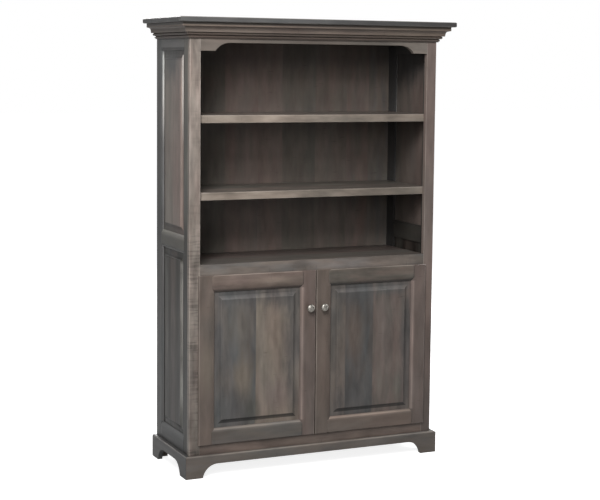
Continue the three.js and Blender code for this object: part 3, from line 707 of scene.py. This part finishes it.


# Boards and spots of each door's pieces, placed about where the photograph has them
DOOR_STAINS = {
    "left": {
        "hinge_stile": dict(
            boards=one("brown", "mauve", 0.98),
            spots=[(0.5, 0.46, 0.7, 0.16, "tan", 1.0, 0.7), (0.5, 0.7, 0.7, 0.1, "taupe", 0.85, 0.6)]),
        "meeting_stile": dict(boards=one("mauve", "umber", 0.95)),
        "top_rail": dict(
            boards=one("brown", "mauve", 1.14),
            spots=[
                (0.6, 0.28, 0.4, 0.16, "mauve", 1.35, 0.7), (0.5, 0.65, 0.3, 0.25, "tan", 1.2, 0.5),
                (0.25, 0.5, 0.25, 0.3, "umber", 0.9, 0.5)]),
        "bottom_rail": dict(boards=one("taupe", "cool", 0.82)),
        "panel": dict(
            boards=[(0, "slate", "taupe", 1.0), (0.475, "tan", "mauve", 1.08)],
            spots=[
                (0.3, 0.74, 0.13, 0.25, "taupe", 0.95, 0.85), (0.33, 0.36, 0.12, 0.2, "tan", 1.0, 0.95),
                (0.4, 0.96, 0.6, 0.08, "slate", 0.8, 0.8), (0.2, 0.14, 0.2, 0.16, "slate", 0.85, 0.8),
                (0.72, 0.22, 0.16, 0.13, "mauve", 1.2, 0.85), (0.92, 0.6, 0.14, 0.5, "slate", 1.1, 0.7),
                (0.55, 0.5, 0.05, 0.5, "ash", 0.95, 0.6), (0.45, 0.1, 0.1, 0.12, "olive", 0.85, 0.6),
                (0.8, 0.9, 0.2, 0.12, "slate", 0.95, 0.7)]),
    },
    "right": {
        "hinge_stile": dict(boards=one("mauve", "umber", 0.96)),
        "meeting_stile": dict(boards=one("brown", "umber", 1.0)),
        "top_rail": dict(
            boards=one("brown", "olive", 0.96), spots=[(0.5, 0.1, 0.7, 0.2, "olive", 1.05, 0.6)]),
        "bottom_rail": dict(boards=one("brown", "taupe", 1.02)),
        "panel": dict(
            boards=[
                (0, "taupe", "slate", 0.9), (0.19, "slate", "umber", 0.92), (0.516, "mauve", "olive", 0.9)],
            spots=[
                (0.3, 0.62, 0.12, 0.22, "brown", 0.95, 0.8), (0.3, 0.14, 0.22, 0.16, "slate", 0.82, 0.95),
                (0.3, 0.93, 0.34, 0.09, "slate", 0.9, 0.8), (0.6, 0.25, 0.06, 0.2, "taupe", 1.08, 0.7),
                (0.63, 0.65, 0.09, 0.25, "mauve", 1.08, 0.7), (0.93, 0.5, 0.1, 0.5, "slate", 0.95, 0.7),
                (0.82, 0.2, 0.05, 0.12, "olive", 1.15, 0.8), (0.75, 0.95, 0.3, 0.06, "cool", 0.85, 0.7)]),
    },
}


def door_stile(open_part, moulded, outer):
    """Settings of a door stile: painted highlight along its moulded side toward the panel where that side
    faces -X, painted shade where it faces +X, and its outer edge rubbed lighter as wear and painted
    highlight.
    """
    bands = {moulded: BRIGHT_STILE if moulded == "x-" else DARK_STILE}
    return dict(grain=UPRIGHT, within=open_part, rub=(outer,), bands=bands)


def door_boards(side):
    """Settings of the frame and panel of one door."""
    prefix = f"door_{side}_"
    open_part = (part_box(prefix + "bottom_rail")[1][2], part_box(prefix + "top_rail")[0][2])
    inward, outward = ("x+", "x-") if side == "left" else ("x-", "x+")
    parts = {
        "hinge_stile": door_stile(open_part, inward, outward),
        "meeting_stile": door_stile(open_part, outward, inward),
        # The top rail's band is painted shade along its moulded edge, and the bottom rail's a painted
        # highlight
        "top_rail": dict(grain=LEVEL, contrast=0.8, patches=0.6, bands={"z-": DARK_RAIL}, rub=("z+",)),
        "bottom_rail": dict(grain=LEVEL, bands={"z+": BRIGHT_RAIL}),
        "panel": dict(grain=UPRIGHT, contrast=0.7, patches=0.5, bands=PANEL_BANDS),
    }
    return {prefix + part: {**settings, **DOOR_STAINS[side][part]} for part, settings in parts.items()}


def frame_boards():
    """Settings of the face frame."""
    return {
        # The left stile's along list is painted light and shade: lightest in its upper part, a little darker
        # under the crown
        "frame_left_stile": dict(
            grain=UPRIGHT, boards=one("taupe", "mauve", 1.18), curl=0.4, contrast=1.1, rub=("x-", "x+"),
            along=[
                (0, 0.98), (0.15, 1.02), (0.32, 1.26), (0.47, 1.28), (0.67, 1.08), (0.77, 1.48),
                (0.85, 1.6), (0.93, 1.22), (1, 1.05)]),
        "frame_right_stile": dict(
            grain=UPRIGHT, boards=one("mauve", "brown", 1.2), rub=("x-",),
            along=[(0, 0.64), (0.26, 0.66), (0.34, 0.95), (0.44, 1.06), (0.6, 0.97)]),
        "frame_arched_rail": dict(
            grain=LEVEL, boards=one("taupe", "brown"),
            along=[(0, 1), (0.12, 1), (0.2, 0.82), (0.8, 0.82), (0.88, 1.3), (1, 1.4)]),
        "frame_middle_rail": dict(
            grain=LEVEL, boards=one("taupe", "cool", 1.18), contrast=0.9, patches=0.6,
            along=[(0, 1), (0.7, 1), (1, 0.87)]),
        "frame_bottom_rail": dict(grain=LEVEL, boards=one("brown", "mauve", 1.02), contrast=0.8),
    }


def bay_light_and_shade():
    """Painted light and shade up the inside of the back panel, as (share, scale): painted shade at the top
    of each open bay.
    """
    low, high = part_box("back_panel")
    floors = [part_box(name)[1][2] for name in ("middle_deck", "lower_shelf", "upper_shelf")]
    ceilings = [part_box(name)[0][2] for name in ("lower_shelf", "upper_shelf", "frame_arched_rail")]
    stops = []
    for bottom, top, levels in zip(floors, ceilings, BAY_LIGHT_AND_SHADE):
        for share, level in zip(BAY_SHARES, levels):
            stops.append(((bottom + (top - bottom) * share - low[2]) / (high[2] - low[2]), level))
    return stops


def inner_boards():
    """Settings of the back panel, decks and shelves."""
    return {
        "back_panel": dict(
            grain=UPRIGHT, patches=0.5, inside=bay_light_and_shade(), boards=[
                (0, "taupe", "slate", 0.95), (0.14, "taupe", "olive", 1.05), (0.27, "mauve", "taupe", 1.1),
                (0.41, "mauve", "taupe", 1.15), (0.515, "taupe", "olive", 0.98),
                (0.66, "taupe", "mauve", 1.1), (0.8, "mauve", "olive", 1.15), (0.9, "taupe", "cool", 1.1)]),
        "sub_top": dict(grain=FLAT, boards=one("taupe")),
        "middle_deck": dict(
            grain=FLAT, boards=[(0, "taupe", "slate", 0.9), (0.5, "mauve", "slate", 0.85)]),
        "bottom_deck": dict(grain=FLAT, boards=one("taupe")),
        "upper_shelf": dict(
            grain=FLAT, contrast=0.9, along=[(0, 1.05), (0.5, 1), (1, 0.87)], rub=("z+", "z-"),
            boards=[(0, "ash", "tan", 1.0), (0.07, "taupe", "mauve", 1.0), (0.5, "mauve", "olive", 1.0)]),
        "lower_shelf": dict(
            grain=FLAT, contrast=0.9, along=[(0, 0.95), (0.5, 0.9), (1, 0.7)], rub=("z+", "z-"),
            boards=[(0, "ash", "tan", 1.0), (0.07, "taupe", "mauve", 1.1), (0.5, "olive", "mauve", 1.1)]),
        "cabinet_shelf": dict(grain=FLAT, boards=one("taupe")),
    }


def outer_boards():
    """Settings of the top board and the plinth."""
    return {
        "top_board": dict(
            grain=FLAT, rub=("z+", "z-"), wear=0.25, along=[(0, 1.02), (0.3, 1), (1, 0.6)], boards=[
                (0, "slate", "cool", 1.0), (0.05, "slate", "cool", 0.6), (0.7, "cool", "slate", 0.54)]),
        "plinth_front": dict(
            grain=LEVEL, boards=one("taupe", "cool", 0.95), rub=("z+",), along=[(0, 1), (0.6, 1), (1, 0.88)]),
        "plinth_left": dict(grain=LEVEL_SIDE, boards=one("cool", "slate", 0.5), rub=("z+",)),
        "plinth_right": dict(grain=LEVEL_SIDE, boards=one("cool", "slate", 0.5), rub=("z+",)),
    }


def crown_board(grain, beads, cove, fillet, spots=()):
    """Settings of a crown moulding, with the scales of its beads, its cove and its fillet."""
    boards = [(0, "umber", "brown", beads), (0.3, "brown", "taupe", cove), (0.85, "taupe", "mauve", fillet)]
    return dict(grain=grain, boards=boards, spots=spots)


def foot_blocks():
    """Settings of the glue blocks in the feet."""
    corners = [f"{end}_{side}" for end in ("front", "rear") for side in SIDES]
    settings = dict(grain=UPRIGHT, boards=one("tan", "taupe", 1.2))
    return {"foot_block_" + corner: settings for corner in corners}


# Settings of every wooden piece. Its place among them is its seed.
WOODS = {
    **side_boards("left"),
    **side_boards("right"),
    **door_boards("left"),
    **door_boards("right"),
    **frame_boards(),
    **inner_boards(),
    **outer_boards(),
    "crown_front": crown_board(LEVEL, 0.84, 1.02, 0.66, [(0.6, 0.95, 0.6, 0.3, "tan", 0.85, 0.6)]),
    "crown_left": crown_board(LEVEL_SIDE, 0.98, 1.18, 0.75),
    "crown_right": crown_board(LEVEL_SIDE, 0.98, 1.18, 0.75),
    **foot_blocks(),
}


def metal(name, color, roughness, variation, bump):
    """Metal with a little cloudiness and fine dents."""
    material, nodes = new_material(name)
    spot = nodes.add("ShaderNodeTexCoord").outputs["Object"]
    cloud = nodes.noise(spot, *CLOUD_NOISE)
    dark, light = linear(color, 1 - variation), linear(color, 1 + variation)
    clouded = (roughness - ROUGHNESS_BELOW, roughness + ROUGHNESS_ABOVE)
    dents = nodes.noise(spot, *DENT_NOISE)
    dented = nodes.add("ShaderNodeBump", {"Height": dents, "Distance": DENT_DEPTH, "Strength": bump})
    shader = nodes.add("ShaderNodeBsdfPrincipled", {
        "Base Color": nodes.mix(nodes.span(cloud, *CLOUD_COLOR_SPAN), dark, light),
        "Metallic": 1.0,
        "Roughness": nodes.span(cloud, *CLOUD_ROUGHNESS_SPAN, *clouded),
        "Normal": dented.outputs[0],
    })
    nodes.add("ShaderNodeOutputMaterial", {"Surface": shader.outputs[0]})
    return material


PEWTER = metal("antique_pewter", PEWTER_GREY, roughness=0.46, variation=0.4, bump=0.8)
NICKEL = metal("hinge_nickel", NICKEL_GREY, roughness=0.28, variation=0.06, bump=0.1)


def dress(name, material):
    """Gives a carried-over solid its material."""
    materials = frame["nodes"][name].data.materials
    materials.clear()
    materials.append(material)


for seed, (name, settings) in enumerate(WOODS.items(), start=1):
    dress(name, wood(name, seed=float(seed), **settings))
for name in frame["nodes"]:
    if name not in WOODS:
        dress(name, PEWTER if name.endswith("_knob") else NICKEL)


def smoothing():
    """Geometry node tree that joins the triangles of a piece and smooths its gentle edges."""
    tree = bpy.data.node_groups.new("smooth_gentle_edges", "GeometryNodeTree")
    tree.interface.new_socket("Geometry", in_out="INPUT", socket_type="NodeSocketGeometry")
    tree.interface.new_socket("Geometry", in_out="OUTPUT", socket_type="NodeSocketGeometry")
    nodes = Nodes(tree)
    given = nodes.add("NodeGroupInput").outputs[0]
    merged = nodes.add("GeometryNodeMergeByDistance", {"Geometry": given, "Distance": MERGE_DISTANCE})
    bare = nodes.add("GeometryNodeRemoveAttribute", {"Geometry": merged.outputs[0], "Name": "custom_normal"})
    smooth = nodes.add("GeometryNodeSetShadeSmooth", {"Geometry": bare.outputs[0], "Shade Smooth": True})
    angle = nodes.add("GeometryNodeInputMeshEdgeAngle").outputs["Unsigned Angle"]
    gentle = nodes.add("FunctionNodeCompare", {0: angle, 1: SMOOTH_ANGLE}, operation="LESS_THAN").outputs[0]
    edges = nodes.add("GeometryNodeSetShadeSmooth", {"Geometry": smooth.outputs[0]}, domain="EDGE")
    nodes.feed(edges.inputs["Shade Smooth"], gentle)
    nodes.add("NodeGroupOutput", {0: edges.outputs[0]})
    return tree


def smooth_solids():
    """Smooths the carried-over solids. Weighted normals keep large faces flat beside a curved edge."""
    tree = smoothing()
    for node in frame["nodes"].values():
        modifier = node.modifiers.new("smooth_gentle_edges", "NODES")
        modifier.node_group = tree
        weighted = node.modifiers.new("flat_faces_stay_flat", "WEIGHTED_NORMAL")
        weighted.keep_sharp = True
        weighted.weight = NORMAL_WEIGHT


def circle(radius, sides):
    """Points of a circle about the origin."""
    angles = [2 * math.pi * at / sides for at in range(sides)]
    return [(radius * math.cos(angle), radius * math.sin(angle)) for angle in angles]


def turned_mesh(name, profile, sides, place, shape):
    """Mesh turned about the line through place along Y.

    Profile points are (radius, distance to the front), and shape moves each point of the surface.
    """
    mesh = bmesh.new()
    rings = []
    for radius, out in profile:
        points = [Vector((x, -out, z)) for x, z in circle(radius, 1 if radius == 0 else sides)]
        rings.append([mesh.verts.new(shape(point) + place) for point in points])
    for first, second in zip(rings, rings[1:]):
        for at in range(sides):
            quad = [first[at % len(first)], first[(at + 1) % len(first)]]
            quad += [second[(at + 1) % len(second)], second[at % len(second)]]
            face = mesh.faces.new(list(dict.fromkeys(quad)))
            face.smooth = True
    bmesh.ops.recalc_face_normals(mesh, faces=mesh.faces[:])
    data = bpy.data.meshes.new(name)
    mesh.to_mesh(data)
    mesh.free()
    return data


def dome_point(turn, angle):
    """Point of the knob's dome, from the turn up from its rim and the angle round it."""
    radius = KNOB_RADIUS * math.cos(turn)
    out = KNOB_RIM + (KNOB_PROJECTION - KNOB_RIM) * math.sin(turn)
    return Vector((radius * math.cos(angle), -out, radius * math.sin(angle)))


def hammer_marks():
    """Middles of the hammer's marks, spread over the dome on a spiral."""
    marks = []
    for mark in range(KNOB_MARK_COUNT):
        height = (mark + 0.5) / KNOB_MARK_COUNT
        marks.append(dome_point(math.asin(height ** KNOB_MARK_SPREAD), GOLDEN_ANGLE * mark))
    return marks


KNOB_MARKS = hammer_marks()


def hammered(point):
    """Moves a point of the knob's dome inward by the nearest hammer mark."""
    if -point.y < KNOB_RIM:
        return point
    reach = min((point - mark).length for mark in KNOB_MARKS)
    depth = KNOB_MARK_DEPTH * max(0.0, 1 - (reach / KNOB_MARK_RADIUS) ** 2)
    return point - (point - Vector((0, -KNOB_RIM, 0))).normalized() * depth


def knob(side):
    """Round knob with a hammered dome, a waisted neck and a small stepped base."""
    node = f"door_{side}_knob"
    low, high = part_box(node)
    place = Vector(((low[0] + high[0]) / 2, high[1], (low[2] + high[2]) / 2))
    profile = KNOB_BASE + KNOB_NECK + KNOB_FLARE
    for step in range(KNOB_RINGS):
        point = dome_point(math.pi / 2 * step / KNOB_RINGS, 0)
        profile.append((point.x, -point.y))
    profile.append((0.0, KNOB_PROJECTION))
    data = turned_mesh(node + "_hammered", profile, KNOB_SIDES, place, hammered)
    piece = bpy.data.objects.new(node + "_hammered", data)
    link(piece)
    data.materials.append(PEWTER)
    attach(piece, side + "_door")
    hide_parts(node)


def close_loops(mesh, first, second):
    """Faces between two loops with as many points each."""
    for at in range(len(first)):
        after = (at + 1) % len(first)
        mesh.faces.new((first[at], first[after], second[after], second[at]))


def recess_outline():
    """Outline of a crossed recess, about the origin."""
    slot, reach = RECESS_SLOT_SHARE * SCREW_RADIUS, RECESS_REACH_SHARE * SCREW_RADIUS
    half = [(reach, -slot), (reach, slot), (slot, slot), (slot, reach), (-slot, reach), (-slot, slot)]
    return half + [(-x, -y) for x, y in half]


def screw_head():
    """One round screw head with a crossed recess, on the origin and facing +Z."""
    head = bmesh.new()
    loops = []
    for radius, height in SCREW_RING_SHARES:
        points = circle(radius * SCREW_RADIUS, SCREW_SIDES)
        loops.append([head.verts.new((*point, height * SCREW_HEIGHT)) for point in points])
    for first, second in zip(loops, loops[1:]):
        close_loops(head, first, second)
    head.faces.new(loops[0][::-1])
    cross = recess_outline()
    floor_level = SCREW_HEIGHT * RECESS_FLOOR_SHARE
    top = [head.verts.new((x, y, SCREW_HEIGHT)) for x, y in cross]
    bottom = [head.verts.new((x * RECESS_TAPER_SHARE, y * RECESS_TAPER_SHARE, floor_level)) for x, y in cross]
    inner = [head.edges.new((point, after)) for point, after in zip(top, top[1:] + top[:1])]
    rim = loops[-1]
    outer = [head.edges.get((point, after)) for point, after in zip(rim, rim[1:] + rim[:1])]
    bmesh.ops.triangle_fill(head, edges=inner + outer, use_beauty=True, normal=(0, 0, 1))
    close_loops(head, bottom, top)
    head.faces.new(bottom)
    bmesh.ops.recalc_face_normals(head, faces=head.faces[:])
    return head


def screw_heads(name, places, facing, body):
    """Screw heads at some places, in one piece, that face along an axis."""
    turn = Vector(facing).to_track_quat("Z", "Y").to_matrix().to_4x4()
    mesh = bmesh.new()
    for place in places:
        head = screw_head()
        bmesh.ops.transform(head, matrix=Matrix.Translation(place) @ turn, verts=head.verts[:])
        part = bpy.data.meshes.new("one_head")
        head.to_mesh(part)
        head.free()
        mesh.from_mesh(part)
        bpy.data.meshes.remove(part)
    data = bpy.data.meshes.new(name)
    mesh.to_mesh(data)
    mesh.free()
    data.materials.append(NICKEL)
    piece = bpy.data.objects.new(name, data)
    link(piece)
    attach(piece, body)


def hinge_screws(side, level):
    """Two screw heads on a hinge's cup flange, on the door, and two on its arm's plate, on the case."""
    low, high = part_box(f"door_{side}_{level}_hinge_cup")
    across, up = (low[0] + high[0]) / 2, (low[2] + high[2]) / 2
    places = [(across, high[1], up + way * FLANGE_SCREW_REACH) for way in (-1, 1)]
    screw_heads(f"door_{side}_{level}_cup_screws", places, (0, 1, 0), side + "_door")
    low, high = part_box(f"door_{side}_{level}_hinge_arm")
    plate, inward = (low[0] + PLATE_THICKNESS, 1) if side == "left" else (high[0] - PLATE_THICKNESS, -1)
    along, up = (low[1] + high[1]) / 2, (low[2] + high[2]) / 2
    places = [(plate, along, up + way * PLATE_SCREW_REACH) for way in (-1, 1)]
    screw_heads(f"door_{side}_{level}_plate_screws", places, (inward, 0, 0), "case")


def camera():
    """Camera of the photograph, from its solved place, angles and principal point."""
    data = bpy.data.cameras.new("camera")
    data.sensor_width = SENSOR_WIDTH
    data.lens = FOCAL_PIXELS * SENSOR_WIDTH / FRAME_WIDTH
    data.shift_x = (FRAME_WIDTH / 2 - CENTRE_PIXEL[0]) / FRAME_WIDTH
    data.shift_y = (CENTRE_PIXEL[1] - FRAME_HEIGHT / 2) / FRAME_WIDTH
    body = bpy.data.objects.new("camera", data)
    turn = Matrix.Rotation(math.radians(CAMERA_YAW), 4, "Z")
    tilt = Matrix.Rotation(math.radians(90 + CAMERA_PITCH), 4, "X")
    roll = Matrix.Rotation(math.radians(CAMERA_ROLL), 4, "Z")
    body.matrix_world = Matrix.Translation(CAMERA_PLACE) @ turn @ tilt @ roll
    link(body)
    bpy.context.scene.camera = body


def lamp(name, place, width, power):
    """Square lamp that shines at the middle of the object."""
    data = bpy.data.lights.new(name, "AREA")
    data.shape = "SQUARE"
    data.size = width
    data.energy = power
    body = bpy.data.objects.new(name, data)
    body.location = place
    body.rotation_euler = (Vector(LAMP_AIM) - Vector(place)).to_track_quat("-Z", "Y").to_euler()
    link(body)


def seen_by(nodes):
    """1 for the camera's rays, and 1 for rays that a gloss or a glass sends on."""
    rays = nodes.add("ShaderNodeLightPath").outputs
    return rays["Is Camera Ray"], nodes.math("MAXIMUM", rays["Is Glossy Ray"], rays["Is Transmission Ray"])


def world():
    """White behind the object, dim in front of it for gloss, and a low plain level for diffuse light."""
    studio = bpy.data.worlds.new("studio")
    studio.use_nodes = True
    studio.node_tree.nodes.clear()
    nodes = Nodes(studio.node_tree)
    direct, mirrored = seen_by(nodes)
    toward = nodes.parts(nodes.add("ShaderNodeTexCoord").outputs["Generated"])
    behind = nodes.span(toward[1], *GLOSS_BEHIND)
    above = nodes.span(toward[2], *GLOSS_ABOVE)
    seen = nodes.math("MAXIMUM", direct, nodes.product(mirrored, nodes.product(behind, above)))
    strength = nodes.math("MAXIMUM", seen, AMBIENT)
    background = nodes.add("ShaderNodeBackground", {"Color": (1, 1, 1, 1), "Strength": strength})
    nodes.add("ShaderNodeOutputWorld", {"Surface": background.outputs[0]})
    bpy.context.scene.world = studio


def floor():
    """Pale floor that runs into the white background and keeps a light shadow of the object."""
    mesh = bpy.data.meshes.new("floor")
    corners = [(x * FLOOR_REACH, y * FLOOR_REACH, 0) for x, y in ((-1, -1), (1, -1), (1, 1), (-1, 1))]
    mesh.from_pydata(corners, [], [(0, 1, 2, 3)])
    plane = bpy.data.objects.new("floor", mesh)
    link(plane)
    material, nodes = new_material("floor")
    direct, mirrored = seen_by(nodes)
    shown = nodes.math("MULTIPLY_ADD", mirrored, FLOOR_MIRRORED_SHARE, direct)
    spot = nodes.add("ShaderNodeTexCoord").outputs["Object"]
    glow = nodes.product(shown, nodes.span(nodes.length(spot), *FLOOR_FADE, FLOOR_GLOW, 1.0))
    color = nodes.mix(shown, FLOOR_LIT_GREY, FLOOR_SEEN_GREY)
    diffuse = nodes.add("ShaderNodeBsdfDiffuse", {"Color": color})
    light = nodes.add("ShaderNodeEmission", {"Color": (1, 1, 1, 1), "Strength": glow})
    both = nodes.add("ShaderNodeAddShader", {0: diffuse.outputs[0], 1: light.outputs[0]})
    nodes.add("ShaderNodeOutputMaterial", {"Surface": both.outputs[0]})
    mesh.materials.append(material)


smooth_solids()
for side in SIDES:
    knob(side)
    for level in ("lower", "upper"):
        hinge_screws(side, level)

world()
floor()
camera()
for name, settings in LAMPS.items():
    lamp(name, *settings)

bpy.context.scene.view_settings.view_transform = "Standard"
